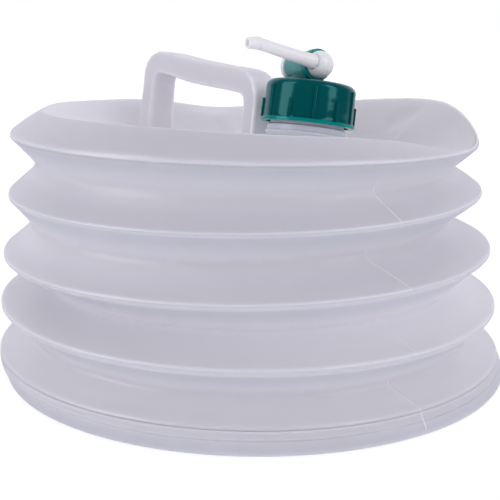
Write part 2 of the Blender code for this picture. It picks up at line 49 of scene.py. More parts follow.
# Studio: the carrier stands on a white sweep that is burnt out to white, and the camera looks down on it
# from the front right, a little above the top. The room is bright all round, but in gloss its front is
# dark, and a softbox at the left and a smaller one at the right show in the cap.
camera_turn = 49.0 * DEG
camera_pitch = 13.67 * DEG
camera_roll = 0.33 * DEG
camera_distance = 620.6 * MM
camera_height = 217.7 * MM
camera_aside = 0.69 * MM
# The focal length in pixels, for a picture of this width, was fitted to the ellipses of the rings
focal_pixels = 1069.6
picture_pixels = 500
camera_data = bpy.data.cameras.new("photo_camera")
camera_data.sensor_width = 36.0
camera_data.lens = 36.0 * focal_pixels / picture_pixels
camera = bpy.data.objects.new("photo_camera", camera_data)
bpy.context.collection.objects.link(camera)
sight = Vector((math.cos(camera_pitch) * -math.sin(camera_turn),
                math.cos(camera_pitch) * math.cos(camera_turn), -math.sin(camera_pitch)))
across = Vector((math.cos(camera_turn), math.sin(camera_turn), 0.0))
upward = across.cross(sight)
leaned_across = across * math.cos(camera_roll) + upward * math.sin(camera_roll)
leaned_up = upward * math.cos(camera_roll) - across * math.sin(camera_roll)
camera_spot = (Vector((math.sin(camera_turn), -math.cos(camera_turn), 0.0)) * camera_distance
               + Vector((0.0, 0.0, camera_height)) + across * camera_aside)
camera.matrix_world = Matrix((
    (leaned_across.x, leaned_up.x, -sight.x, camera_spot.x),
    (leaned_across.y, leaned_up.y, -sight.y, camera_spot.y),
    (leaned_across.z, leaned_up.z, -sight.z, camera_spot.z),
    (0.0, 0.0, 0.0, 1.0)))
bpy.context.scene.camera = camera
bpy.context.scene.view_settings.view_transform = "Standard"


def linear(code):
    """A Blender colour from an sRGB hex code."""
    channels = [int(code[at:at + 2], 16) / 255 for at in (1, 3, 5)]
    return (*[c / 12.92 if c <= 0.04045 else ((c + 0.055) / 1.055) ** 2.4 for c in channels], 1.0)


def add_node(material, kind, settings, inputs):
    """Add one shader node with its settings, input values and links."""
    tree = material.node_tree
    node = tree.nodes.new(kind)
    for name, value in settings.items():
        setattr(node, name, value)
    for name, value in inputs.items():
        if isinstance(value, bpy.types.NodeSocket):
            tree.links.new(value, node.inputs[name])
        else:
            node.inputs[name].default_value = value
    return node


def new_material(name):
    """A new material with its main shader."""
    material = bpy.data.materials.new(name)
    material.use_nodes = True
    return material, material.node_tree.nodes["Principled BSDF"]


world = bpy.data.worlds.new("white_studio")
bpy.context.scene.world = world
world.use_nodes = True
world.node_tree.nodes.clear()
room_direction = add_node(world, "ShaderNodeTexCoord", {}, {})
room_behind = add_node(world, "ShaderNodeVectorMath", {"operation": "DOT_PRODUCT"}, {
    0: room_direction.outputs["Generated"], 1: (-math.sin(camera_turn), math.cos(camera_turn), 0.0)})
# From the front to the back of the room, the light that falls on the carrier and what its gloss mirrors
soft_level = add_node(world, "ShaderNodeMapRange", {}, {
    "Value": room_behind.outputs["Value"],
    "From Min": -1.0, "From Max": 0.1, "To Min": 0.87, "To Max": 0.99})
gloss_level = add_node(world, "ShaderNodeMapRange", {}, {
    "Value": room_behind.outputs["Value"],
    "From Min": 0.25, "From Max": 0.7, "To Min": 0.02, "To Max": 0.85})
ray = add_node(world, "ShaderNodeLightPath", {}, {})
room_level = add_node(world, "ShaderNodeMix", {"data_type": "FLOAT"}, {
    0: ray.outputs["Is Glossy Ray"], 2: soft_level.outputs[0], 3: gloss_level.outputs[0]})
room = add_node(world, "ShaderNodeBackground", {}, {
    "Color": linear("#F6F4FF"), "Strength": room_level.outputs[0]})
backdrop = add_node(world, "ShaderNodeBackground", {}, {"Color": linear("#FFFFFF"), "Strength": 1.0})
surround = add_node(world, "ShaderNodeMixShader", {}, {
    0: ray.outputs["Is Camera Ray"], 1: room.outputs[0], 2: backdrop.outputs[0]})
add_node(world, "ShaderNodeOutputWorld", {}, {"Surface": surround.outputs[0]})

# The sweep lies a little under the foot ring, so that their faces don't meet
sweep_size = 8.0
sweep_height = -0.4 * MM
bpy.ops.object.select_all(action="DESELECT")
bpy.ops.mesh.primitive_plane_add(size=sweep_size, location=(0.0, 0.0, sweep_height))
sweep = bpy.context.object
sweep.name = "white_sweep"
paper, paper_shader = new_material("white_paper")
paper_ray = add_node(paper, "ShaderNodeLightPath", {}, {})
# The paper is seen as pure white, lights the undersides a little cooler and is dimmer in gloss
paper_tint = add_node(paper, "ShaderNodeMix", {"data_type": "RGBA"}, {
    0: paper_ray.outputs["Is Camera Ray"], 6: linear("#F3F1FF"), 7: linear("#FFFFFF")})
paper_glow = add_node(paper, "ShaderNodeMapRange", {}, {
    "Value": paper_ray.outputs["Is Glossy Ray"], "To Min": 0.72, "To Max": 0.2})
paper.node_tree.links.new(paper_tint.outputs[2], paper_shader.inputs["Emission Color"])
paper.node_tree.links.new(paper_glow.outputs[0], paper_shader.inputs["Emission Strength"])
paper_shader.inputs["Base Color"].default_value = linear("#ABABAB")
paper_shader.inputs["Roughness"].default_value = 0.9
paper_shader.inputs["Specular IOR Level"].default_value = 0.0
sweep.data.materials.append(paper)

# How far off the softboxes stand, and the height of what they are turned to
softbox_distance = 1.7
softbox_aim = 0.15


def softbox(name, to_right, elevation, size, brightness):
    """A panel that shows only in glossy surfaces; to_right is counted from the camera's side."""
    light = bpy.data.lights.new(name, "AREA")
    light.shape = "RECTANGLE"
    light.size, light.size_y = size
    light.energy = brightness * math.pi * size[0] * size[1]
    lamp = bpy.data.objects.new(name, light)
    bpy.context.collection.objects.link(lamp)
    direction = camera_turn - math.pi / 2 + to_right
    reach = Vector((math.cos(direction) * math.cos(elevation), math.sin(direction) * math.cos(elevation),
                    math.sin(elevation))) * softbox_distance
    lamp.location = reach + Vector((0.0, 0.0, softbox_aim))
    lamp.rotation_mode = "QUATERNION"
    lamp.rotation_quaternion = (-reach).to_track_quat("-Z", "Y")
    lamp.visible_diffuse = False


softbox("softbox_left", -68 * DEG, 26 * DEG, (0.95, 1.7), 2.7)
softbox("softbox_right", 57 * DEG, 30 * DEG, (0.6, 1.2), 2.8)

# Bag: one blow moulding in natural LDPE, milky and slightly waxy, which lets light through its wall. Its
# tone holds painted light and shade: painted light towards the grooves against their shade, a painted
# highlight on each ridge's upper edge and painted shade in the band below it.
# The base pan has a foot ring round a shallow recess, and its low wall has a fine line round it.
bag_sides = 180
wall = 1.3 * MM
usual_spread = 6 * MM
natural_ldpe, ldpe_shader = new_material("natural_ldpe")
ldpe_place = add_node(natural_ldpe, "ShaderNodeTexCoord", {}, {})
ldpe_milk_and_light = add_node(natural_ldpe, "ShaderNodeAttribute", {"attribute_name": "milk_and_painted_light"}, {})
ldpe_spread = add_node(natural_ldpe, "ShaderNodeAttribute", {"attribute_name": "spread"}, {})
# Flow clouds in the blown wall, about 45 mm across, lower than they are wide
ldpe_flat = add_node(natural_ldpe, "ShaderNodeMapping", {}, {
    "Vector": ldpe_place.outputs["Object"], "Scale": (1.0, 1.0, 2.2)})
ldpe_clouds = add_node(natural_ldpe, "ShaderNodeTexNoise", {}, {
    "Vector": ldpe_flat.outputs[0], "Scale": 1 / (45 * MM), "Detail": 3.0, "Roughness": 0.55})
# The tone follows each point's milk value, which holds painted light and shade besides the wall's own
# milkiness
ldpe_share = add_node(natural_ldpe, "ShaderNodeMath", {"operation": "MULTIPLY_ADD", "use_clamp": True}, {
    0: ldpe_clouds.outputs["Fac"], 1: 0.12, 2: ldpe_milk_and_light.outputs["Fac"]})
ldpe_tone = add_node(natural_ldpe, "ShaderNodeMix", {"data_type": "RGBA"}, {
    0: ldpe_share.outputs[0], 6: linear("#A6B2BA"), 7: linear("#FFFBFF")})
# Fine waxy grain from the mould, drawn at 1.2 mm so that it shows
ldpe_grain = add_node(natural_ldpe, "ShaderNodeTexNoise", {}, {
    "Vector": ldpe_place.outputs["Object"], "Scale": 1 / (1.2 * MM), "Detail": 2.0, "Roughness": 0.5})
ldpe_bump = add_node(natural_ldpe, "ShaderNodeBump", {}, {
    "Height": ldpe_grain.outputs["Fac"], "Strength": 0.05, "Distance": 0.1 * MM})
natural_ldpe.node_tree.links.new(ldpe_tone.outputs[2], ldpe_shader.inputs["Base Color"])
natural_ldpe.node_tree.links.new(ldpe_bump.outputs["Normal"], ldpe_shader.inputs["Normal"])
natural_ldpe.node_tree.links.new(ldpe_spread.outputs["Fac"], ldpe_shader.inputs["Subsurface Scale"])
ldpe_shader.inputs["Roughness"].default_value = 0.32
ldpe_shader.inputs["IOR"].default_value = 1.51
ldpe_shader.inputs["Subsurface Weight"].default_value = 1.0
ldpe_shader.inputs["Subsurface Radius"].default_value = (1.0, 1.0, 1.0)


def in_metres(outline):
    """An outline of (radius, height) points that are given in mm."""
    return [(radius * MM, height * MM) for radius, height in outline]


def start_ring(name, sides, radius, height):
    """Begin a round shell: an open circle in edit mode, with its edge selected."""
    bpy.ops.object.select_all(action="DESELECT")
    bpy.ops.mesh.primitive_circle_add(vertices=sides, radius=radius, location=(0.0, 0.0, 0.0))
    piece = bpy.context.object
    piece.name = name
    piece.data.name = name
    bpy.ops.object.mode_set(mode="EDIT")
    bpy.ops.mesh.select_all(action="SELECT")
    bpy.ops.transform.translate(value=(0.0, 0.0, height))
    return piece


def raise_rings(outline):
    """Extrude the selected ring through the rest of an outline of (radius, height) points."""
    for (radius, height), (next_radius, next_height) in zip(outline, outline[1:]):
        bpy.ops.mesh.extrude_edges_move(
            TRANSFORM_OT_translate={"value": (0.0, 0.0, next_height - height)})
        share = next_radius / radius
        bpy.ops.transform.resize(value=(share, share, 1.0), center_override=(0.0, 0.0, 0.0))


def turned(name, sides, outline):
    """A round shell from an outline of (radius, height) points; an end on the axis is closed to a pole."""
    from_pole = outline[0][0] == 0
    rings = outline[1:] if from_pole else outline
    piece = start_ring(name, sides, *rings[0])
    raise_rings(rings)
    bpy.ops.mesh.select_all(action="SELECT")
    bpy.ops.mesh.remove_doubles(threshold=0.001 * MM)
    if from_pole:
        bpy.ops.mesh.select_all(action="DESELECT")
        bpy.ops.mesh.select_non_manifold()
        bpy.ops.mesh.extrude_edges_move(
            TRANSFORM_OT_translate={"value": (0.0, 0.0, outline[0][1] - outline[1][1])})
        bpy.ops.transform.resize(value=(0.0, 0.0, 1.0), center_override=(0.0, 0.0, 0.0))
        bpy.ops.mesh.select_all(action="SELECT")
        bpy.ops.mesh.remove_doubles(threshold=0.001 * MM)
    bpy.ops.mesh.normals_make_consistent(inside=False)
    bpy.ops.object.mode_set(mode="OBJECT")
    return piece


def rounded(points, reach, step=4 * MM):
    """Round the corners of an outline and divide its long runs; reach is where each rounding starts."""
    # A rounding takes at most this share of the run beside its corner
    most = 0.48
    corners = [points[0]]
    for before, corner, after, near in zip(points, points[1:], points[2:], reach):
        before, corner, after = Vector(before), Vector(corner), Vector(after)
        first = corner + (before - corner).normalized() * min(near, (before - corner).length * most)
        last = corner + (after - corner).normalized() * min(near, (after - corner).length * most)
        for share in (0.0, 0.25, 0.5, 0.75, 1.0):
            rest = 1 - share
            corners.append(tuple(first * rest ** 2 + corner * 2 * share * rest + last * share ** 2))
    corners.append(points[-1])
    outline = []
    for point, following in zip(corners, corners[1:]):
        count = max(1, math.ceil((Vector(following) - Vector(point)).length / step))
        outline += [tuple(Vector(point).lerp(Vector(following), at / count)) for at in range(count)]
    return outline + [corners[-1]]


def apply_modifier(piece, kind, settings):
    """Add one modifier with its settings and apply it."""
    modifier = piece.modifiers.new(kind.lower(), kind)
    for name, value in settings.items():
        setattr(modifier, name, value)
    bpy.ops.object.modifier_apply(modifier=modifier.name)


def paint_milk_and_light(piece, milk_and_light_at, spread_at=lambda place: usual_spread):
    """Keep on each point the wall's tone, with its painted light and shade, and how far light spreads
    inside it.
    """
    milk_and_painted_light = piece.data.attributes.new("milk_and_painted_light", "FLOAT", "POINT")
    spread = piece.data.attributes.new("spread", "FLOAT", "POINT")
    for vertex in piece.data.vertices:
        milk_and_painted_light.data[vertex.index].value = milk_and_light_at(vertex.co)
        spread.data[vertex.index].value = spread_at(vertex.co)


def raise_parting_line(piece, proud, faint_at=lambda place: False):
    """Where the two halves of the mould met, on an upright plane off the axis, a fine line stands out with
    a painted highlight.
    """
    plane_direction = 102 * DEG
    off_axis = -43.5 * MM
    half_width = 0.55 * MM
    # The line shows on the outer wall only, neither in the dish nor under the foot
    least_radius, least_height = 112 * MM, 3 * MM
    across_plane = Vector((math.cos(plane_direction), math.sin(plane_direction), 0.0))
    bpy.ops.object.mode_set(mode="EDIT")
    for beside in (-half_width, 0.0, half_width):
        bpy.ops.mesh.select_all(action="SELECT")
        bpy.ops.mesh.bisect(plane_co=across_plane * (off_axis + beside), plane_no=across_plane,
                            threshold=0.001 * MM)
    bpy.ops.object.mode_set(mode="OBJECT")
    milk_and_painted_light, spread = piece.data.attributes["milk_and_painted_light"], piece.data.attributes["spread"]
    for vertex in piece.data.vertices:
        x, y, z = vertex.co
        radius = math.hypot(x, y)
        on_plane = abs(vertex.co.dot(across_plane) - off_axis) < 0.01 * MM
        if on_plane and radius > least_radius and z > least_height:
            if faint_at(vertex.co):
                # The raised line gets a painted highlight, and only a faint one where the piece asks for it
                share = 1 + 0.3 * proud / radius
                milk_and_painted_light.data[vertex.index].value += 0.1
            else:
                share = 1 + proud / radius
                milk_and_painted_light.data[vertex.index].value = 1.3
                spread.data[vertex.index].value = 1.8 * MM
            vertex.co = (x * share, y * share, z)


# Levels of the standing bag: height, slope to the photograph's right and to its front, rise, and shift to
# the right
lean_stops = [
    (0.0, 0.0, 0.0, 0.0, 4.0), (15.3, -0.010, 0.0, -1.4, 0.3), (43.9, -0.006, -0.006, -0.8, -0.3),
    (56.4, 0.002, -0.004, -1.2, 3.0), (75.2, 0.013, 0.0, -1.8, -1.1), (89.8, 0.012, 0.0, -1.0, -5.5),
    (106.5, 0.010, 0.0, 0.0, -2.3), (137.8, -0.0166, 0.024, -1.8, -2.7)]


def lean(place):
    """Where a point of the standing bag really sits: each level is tilted, sunk and shifted a little."""
    to_right = place.x * math.cos(camera_turn) + place.y * math.sin(camera_turn)
    to_front = place.x * math.sin(camera_turn) - place.y * math.cos(camera_turn)
    height = min(max(place.z / MM, 0.0), lean_stops[-1][0])
    for (low, *low_part), (high, *high_part) in zip(lean_stops, lean_stops[1:]):
        if height <= high:
            share = (height - low) / (high - low)
            share = share * share * (3 - 2 * share)
            right, front, rise, shift = [a + (b - a) * share for a, b in zip(low_part, high_part)]
            shift *= MM
            return Vector((place.x + shift * math.cos(camera_turn), place.y + shift * math.sin(camera_turn),
                           place.z + rise * MM + right * to_right + front * to_front))


def finish(piece, material, smooth_angle=50 * DEG):
    """Shade the piece smooth and give it its material."""
    bpy.ops.object.shade_smooth_by_angle(angle=smooth_angle)
    piece.data.materials.clear()
    piece.data.materials.append(material)


base_points = [(0.0, 2.0), (112.0, 2.0), (117.0, 0.0), (147.4, 0.0), (148.15, 9.3), (147.75, 9.9),
               (148.1, 10.6), (147.45, 15.3)]
base_outline = rounded(in_metres(base_points), (3 * MM, 2 * MM, 3 * MM, 0.3 * MM, 0.3 * MM, 0.5 * MM))
bag_base = turned("bag_base", bag_sides, base_outline)
# The wall is lighter above its fine line, darker below it and darkest at the bottom. At an open seam light
# spreads less, so that none is lost there.
line_top, seam_start = 10.2 * MM, 14.8 * MM
seam_spread = 1.5 * MM
paint_milk_and_light(bag_base, lambda place: 0.6 if place.z > line_top else 0.34 + 0.15 * place.z / (10 * MM),
           lambda place: seam_spread if place.z > seam_start else usual_spread)
raise_parting_line(bag_base, 0.2 * MM)
apply_modifier(bag_base, "SOLIDIFY", {"thickness": wall, "offset": -1.0, "use_even_offset": True})
finish(bag_base, natural_ldpe)
for vertex in bag_base.data.vertices:
    vertex.co = lean(vertex.co)
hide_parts("base_pan")
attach(bag_base, "base")

# Folds: the wall zigzags through five ridges and four grooves. Each ridge ends in a narrow upright band
# where the mould pinched it, and each groove is soft. The folds squash flat when the bag is pressed down.
ridges = [(147.45, 15.3), (145.0, 43.9), (141.5, 75.2), (136.2, 106.5), (133.4, 137.8)]
grooves = [(126.8, 25.9), (116.4, 56.4), (118.1, 89.8), (118.4, 122.0)]
# For each groove, the painted light on the flank below it and how far light spreads in its bottom
flank_painted_light = (0.74, 0.82, 0.6, 0.54)
groove_spread = (3.0, 1.5, 3.4, 3.8)
# Half the height of the upright band on each ridge
band = 0.85
# The folds end a little above the highest band's lower edge, and the top goes on from there
seam_height = ridges[-1][1] - band + 0.4
# Close beside each band's edges a further row keeps the painted light and painted shade lines narrow
beside = 0.9
start_radius, start_height = ridges[0]
fold_points = [(start_radius, start_height), (start_radius, start_height + band),
               (start_radius - beside, start_height + band + beside)]
fold_reach = [0.5 * MM, 0.2 * MM]
for (groove_radius, groove_height), (ridge_radius, ridge_height) in zip(grooves, ridges[1:]):
    fold_points += [(groove_radius, groove_height), (ridge_radius - beside, ridge_height - band - beside),
                    (ridge_radius, ridge_height - band), (ridge_radius, ridge_height + band),
                    (ridge_radius - beside, ridge_height + band + beside)]
    fold_reach += [6.0 * MM, 0.2 * MM, 0.5 * MM, 0.5 * MM, 0.2 * MM]
fold_points = fold_points[:-2] + [(ridges[-1][0], seam_height)]
fold_reach = fold_reach[:-2]
fold_outline = rounded(in_metres(fold_points), fold_reach, 3 * MM)
bag_folds = turned("bag_folds", bag_sides, fold_outline)
# Painted light at the seams, a painted highlight on each ridge's upper edge, and painted shade in the band
# below it
seam_painted_light, ridge_painted_highlight, painted_shade_level = 0.9, 0.8, 0.36
# How far the painted highlight and shade lines reach beyond a band, and how far a groove's painted light
# reaches
line_reach = 0.45
groove_reach = 12


def on_seam(place):
    """Whether a point lies on the lower or upper end of the folds, where light would be lost."""
    return place.z < (start_height + 0.3) * MM or place.z > (seam_height - 0.3) * MM


def fold_painted_light(place):
    """Painted light and shade: a painted highlight on a ridge's upper edge, painted shade in the band below
    it, and painted light on the flanks near each groove, most on those that face up.
    """
    height = place.z / MM
    above_ridge = min((height - ridge_height for _, ridge_height in ridges), key=abs)
    from_groove, below = min(((height - groove[1], milk_and_painted_light) for groove, milk_and_painted_light in zip(grooves, flank_painted_light)),
                             key=lambda found: abs(found[0]))
    if on_seam(place):
        return seam_painted_light
    if band / 2 < above_ridge < band + line_reach:
        return ridge_painted_highlight
    if -band - line_reach < above_ridge <= band / 2:
        return painted_shade_level
    # From the bottom of a groove the painted light fades out, quicker on the flank below than on the one
    # above
    if from_groove < 0:
        return below + 0.26 * max(0.0, 1 + from_groove / 8)
    return painted_shade_level + 0.42 * max(0.0, 1 - from_groove / groove_reach)


def fold_spread(place):
    """How far light spreads inside the wall, least in the bottoms of the grooves, which lifts them against
    their shade.
    """
    if on_seam(place):
        return seam_spread
    away = [abs(place.z / MM - groove_height) for _, groove_height in grooves]
    from_groove, least = min(zip(away, groove_spread))
    return (6 - (6 - least) * max(0.0, 1 - from_groove / groove_reach)) * MM


def faces_down(place):
    """Whether a point of the folds lies above a groove, on the flank or band under the next ridge."""
    return any(groove_height + 0.5 < place.z / MM < ridge_height + 0.5
               for (_, groove_height), (_, ridge_height) in zip(grooves, ridges[1:]))


paint_milk_and_light(bag_folds, fold_painted_light, fold_spread)
raise_parting_line(bag_folds, 0.35 * MM, faces_down)
apply_modifier(bag_folds, "SOLIDIFY", {"thickness": wall, "offset": -1.0, "use_even_offset": False})
finish(bag_folds, natural_ldpe)
for vertex in bag_folds.data.vertices:
    vertex.co = lean(vertex.co)
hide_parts("fold_1", "fold_2", "fold_3", "fold_4", "fold_5")
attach(bag_folds, "base")
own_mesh(bag_folds)

# Soft top: a cone rises from the highest ridge to a crest, and a dish sinks inside it to a leaning floor.
# The thin plastic has sagged at the back and been pushed in at the right, where the crest comes down to
# the ridge and then climbs to a full shoulder, and a few soft creases cross the dish.
rim_radius, rim_height = ridges[-1][0] * MM, ridges[-1][1] * MM
crest_radius = 118 * MM
floor_radius, floor_height = 84.0 * MM, 128.6 * MM
floor_lean = 7.5 * DEG
# At the left the floor reaches further out
floor_bulge, bulge_reach = 19 * MM, 50 * DEG
# The crest all the way round: direction, radius and height, to which crest_lift is added
crest_lift = 0.7
crest_line = [
    (-194.0, 118.0, 147.0), (-183.0, 118.0, 146.6), (-166.0, 118.0, 147.9), (-145.0, 118.0, 150.3),
    (-110.0, 118.0, 151.6), (-80.0, 118.0, 153.0), (-60.0, 118.0, 152.8), (-43.0, 118.0, 151.5),
    (-17.0, 118.0, 148.4), (-5.0, 119.0, 145.4), (3.0, 121.0, 142.6), (8.0, 124.0, 139.8),
    (14.0, 128.5, 137.2), (20.0, 130.5, 136.0), (28.0, 131.0, 135.8), (36.0, 130.5, 137.6),
    (44.0, 128.0, 142.4), (51.0, 124.5, 148.0), (57.0, 121.5, 151.4), (64.0, 119.0, 152.8),
    (77.0, 118.0, 151.6), (93.0, 118.0, 148.6), (101.0, 118.0, 146.6), (120.0, 118.0, 142.4),
    (142.0, 118.0, 139.2), (149.0, 118.0, 138.4), (156.0, 118.0, 139.8), (164.0, 118.0, 143.0),
    (177.0, 118.0, 146.6), (194.0, 118.0, 147.9)]
# Soft creases, from (x, y) to (x, y), with height and half width
creases = [
    ((-104.0, 38.0), (-92.0, 56.0), 1.4, 5.0), ((-92.0, 56.0), (-66.0, 54.0), 1.6, 5.0),
    ((50.0, 62.0), (36.0, 90.0), 2.4, 5.0), ((20.0, 103.0), (36.0, 104.0), -2.2, 9.0),
    ((-6.0, 97.0), (24.0, 89.0), -1.8, 4.5), ((-28.0, -86.0), (-8.0, -92.0), 1.0, 4.0)]
# Rows of the round shell, by their share of the way up the cone, down the dish and in over the floor. The
# cone's first two rows close the seam and end the highest band, and have painted light and a spread of
# their own.
band_share = 0.05
rim_light_and_spread = {0.0: (seam_painted_light, 1.5), band_share: (0.66, 4.0)}
cone_shares = (0.0, band_share, 0.09, 0.22, 0.36, 0.5, 0.64, 0.77, 0.87, 0.94, 1.0)
dish_shares = (0.04, 0.09, 0.16, 0.25, 0.34, 0.43, 0.52, 0.61, 0.7, 0.79, 0.87, 0.94, 1.0)
floor_shares = (0.96, 0.9, 0.82, 0.73, 0.63, 0.52, 0.4, 0.27, 0.14, 0.06, 0.0)
rows = ([(rim_radius + (crest_radius - rim_radius) * share, "cone", share) for share in cone_shares]
        + [(crest_radius + (floor_radius - crest_radius) * share, "dish", share) for share in dish_shares]
        + [(floor_radius * share, "floor", share) for share in floor_shares])
bag_top = turned("bag_top", bag_sides, [(radius, rim_height) for radius, _, _ in rows])


def crest_at(angle):
    """The crest's radius and height in a direction, with the corners of the crest line smoothed."""
    found = []
    for turn in (-5, -2.5, 0, 2.5, 5):
        direction = (math.degrees(angle) + turn + 180) % 360 - 180
        for (start, *low), (end, *high) in zip(crest_line, crest_line[1:]):
            if start <= direction <= end:
                share = (direction - start) / (end - start)
                found.append([a + (b - a) * share for a, b in zip(low, high)])
                break
    radius, height = [sum(column) / len(found) for column in zip(*found)]
    return radius * MM, (height + crest_lift) * MM


def crease_lift(x, y):
    """How far the creases raise or sink the dish at a point."""
    lift = 0.0
    for start, end, height, half in creases:
        start, end, point = Vector(start) * MM, Vector(end) * MM, Vector((x, y))
        along = (point - start).dot(end - start) / (end - start).length_squared
        away = (point - start.lerp(end, min(1.0, max(0.0, along)))).length
        if away < half * MM:
            lift += height * MM * math.cos(math.pi / 2 * away / (half * MM)) ** 2
    return lift


def floor_at(radius, angle):
    """The height of the leaning floor."""
    return floor_height - math.tan(floor_lean) * radius * math.sin(angle)


paint_milk_and_light(bag_top, lambda place: 0.0)
top_milk_and_light, top_spread = bag_top.data.attributes["milk_and_painted_light"], bag_top.data.attributes["spread"]
seam_drop = rim_height - seam_height * MM
crest_of = {}
for vertex in bag_top.data.vertices:
    x, y, _ = vertex.co
    flat_radius = math.hypot(x, y)
    angle = math.atan2(y, x)
    key = round(angle, 4)
    if key not in crest_of:
        crest_of[key] = crest_at(angle)
    crest_out, crest_height = crest_of[key]
    _, zone, share = min(rows, key=lambda row: abs(row[0] - flat_radius))
    floor_edge = floor_radius
    from_left = math.pi - abs(angle)
    if from_left < bulge_reach:
        floor_edge += floor_bulge * math.cos(from_left / bulge_reach * math.pi / 2) ** 2
    if zone == "cone":
        # The cone starts from the leaning rim and bows a little outwards on its way up
        radius = rim_radius + (crest_out - rim_radius) * max(0.0, share - band_share) / (1 - band_share)
        outward = Vector((math.cos(angle), math.sin(angle), 0.0))
        rim = lean(outward * rim_radius + Vector((0.0, 0.0, rim_height)))
        height = rim.z - seam_drop + (band * MM + seam_drop) * min(1.0, share / band_share)
        if share > band_share:
            height += (crest_height - height) * (share + 0.05 * math.sin(math.pi * share))
        milk_and_painted_light, spread = rim_light_and_spread.get(share, (0.5, 6.0))
    else:
        # The pushed-in right side is stretched thinner than the rest of the dish
        to_right = (x * math.cos(camera_turn) + y * math.sin(camera_turn)) / (70 * MM)
        spread = 3.6 + 2.8 * min(1.0, max(0.0, to_right))
    if zone == "dish":
        radius = crest_out + (floor_edge - crest_out) * share
        drop = 0.5 * share + 0.5 * share * share * (3 - 2 * share)
        height = crest_height + (floor_at(floor_edge, angle) - crest_height) * drop
        # The dish is painted lighter than the cone, painted light where it faces up
        milk_and_painted_light = 0.9
    if zone == "floor":
        radius = floor_edge * share
        height = floor_at(radius, angle)
        # The floor too is painted lighter, painted light where it faces up
        milk_and_painted_light = 0.95
    vertex.co = (radius * math.cos(angle), radius * math.sin(angle), height)
    if zone == "cone":
        vertex.co.x += (rim.x - rim_radius * math.cos(angle)) * (1 - share)
        vertex.co.y += (rim.y - rim_radius * math.sin(angle)) * (1 - share)
    else:
        vertex.co.z += crease_lift(vertex.co.x, vertex.co.y)
    top_milk_and_light.data[vertex.index].value = milk_and_painted_light
    top_spread.data[vertex.index].value = spread * MM
raise_parting_line(bag_top, 0.0, lambda place: True)
apply_modifier(bag_top, "SOLIDIFY", {"thickness": wall, "offset": -1.0})
finish(bag_top, natural_ldpe)
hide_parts("top_panel")
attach(bag_top, "top")

# Carry handle: a hollow loop blown in one with the bag, open into it at both feet. Its legs and bar are
# flat at the sides with soft edges, and the feet spread where they run into the leaning floor of the dish.
handle_depth = 18.0 * MM
handle_edge = 2.6 * MM
handle_wall = 1.6 * MM
foot_height = -4.0 * MM
# The loop's outer and inner line in pairs of (x, height), from the far foot over the bar to the near foot
loop_pairs = [
    ((-102.0, -4.0), (-84.0, -4.0)), ((-100.0, 1.5), (-86.0, 1.5)), ((-99.3, 7.0), (-86.8, 7.0)),
    ((-99.0, 15.0), (-87.0, 14.0)), ((-99.0, 23.0), (-87.0, 20.5)), ((-99.0, 30.0), (-87.0, 28.0)),
    ((-99.0, 36.0), (-86.8, 31.8)), ((-97.2, 42.0), (-85.6, 34.4)), ((-93.2, 46.4), (-83.2, 35.9)),
    ((-86.6, 49.2), (-79.6, 36.0)), ((-79.0, 49.4), (-73.5, 35.1)), ((-68.0, 48.2), (-64.0, 33.5)),
    ((-58.0, 47.1), (-53.0, 32.0)), ((-43.0, 46.0), (-40.0, 31.0)), ((-30.0, 45.1), (-28.0, 30.4)),
    ((-16.5, 44.4), (-16.5, 29.9)), ((-7.0, 43.8), (-5.6, 29.1)), ((-0.7, 42.7), (-2.6, 28.3)),
    ((3.8, 40.6), (-0.5, 26.4)), ((7.4, 37.0), (0.5, 23.4)), ((10.1, 32.4), (0.7, 20.0)),
    ((11.5, 26.6), (0.7, 16.0)), ((11.8, 19.0), (0.7, 11.0)), ((12.0, 9.0), (0.5, 6.0)),
    ((12.8, 2.0), (-0.4, 1.5)), ((15.0, -4.0), (-2.6, -4.0))]


def new_piece(add_shape, name):
    """A plane or cube of unit size at the origin, to be pulled into shape."""
    bpy.ops.object.select_all(action="DESELECT")
    add_shape(size=1.0, location=(0.0, 0.0, 0.0))
    piece = bpy.context.object
    piece.name = name
    piece.data.name = name
    return piece


def draw_strip(name, pairs):
    """A strip of faces in the X-Z plane between two lines that are given as pairs of points in mm."""
    strip = new_piece(bpy.ops.mesh.primitive_plane_add, name)
    bpy.ops.object.mode_set(mode="EDIT")
    mesh = bmesh.from_edit_mesh(strip.data)
    corners = list(mesh.faces)[0].verts[:]
    for corner, (x, z) in zip(corners, (pairs[0][0], pairs[0][1], pairs[1][1], pairs[1][0])):
        corner.co = (x * MM, 0.0, z * MM)
    bpy.ops.mesh.select_all(action="DESELECT")
    for corner in corners[2:]:
        corner.select = True
    mesh.select_flush_mode()
    mesh.select_flush(True)
    for (outer, _), (next_outer, next_inner) in zip(pairs[1:], pairs[2:]):
        step = ((next_outer[0] - outer[0]) * MM, 0.0, (next_outer[1] - outer[1]) * MM)
        bpy.ops.mesh.extrude_edges_move(TRANSFORM_OT_translate={"value": step})
        mesh = bmesh.from_edit_mesh(strip.data)
        outer_end = Vector((next_outer[0] * MM, 0.0, next_outer[1] * MM))
        ends = [vert for vert in mesh.verts if vert.select]
        ends.sort(key=lambda vert: (vert.co - outer_end).length)
        ends[1].co = (next_inner[0] * MM, 0.0, next_inner[1] * MM)
    bpy.ops.mesh.select_all(action="SELECT")
    bpy.ops.mesh.normals_make_consistent(inside=False)
    bpy.ops.object.mode_set(mode="OBJECT")
    return strip


def put_in_frame(piece, place):
    """Move the mesh into a leaning frame of the top, and leave the object at the origin."""
    piece.matrix_world = place
    bpy.ops.object.transform_apply(location=True, rotation=True, scale=True)


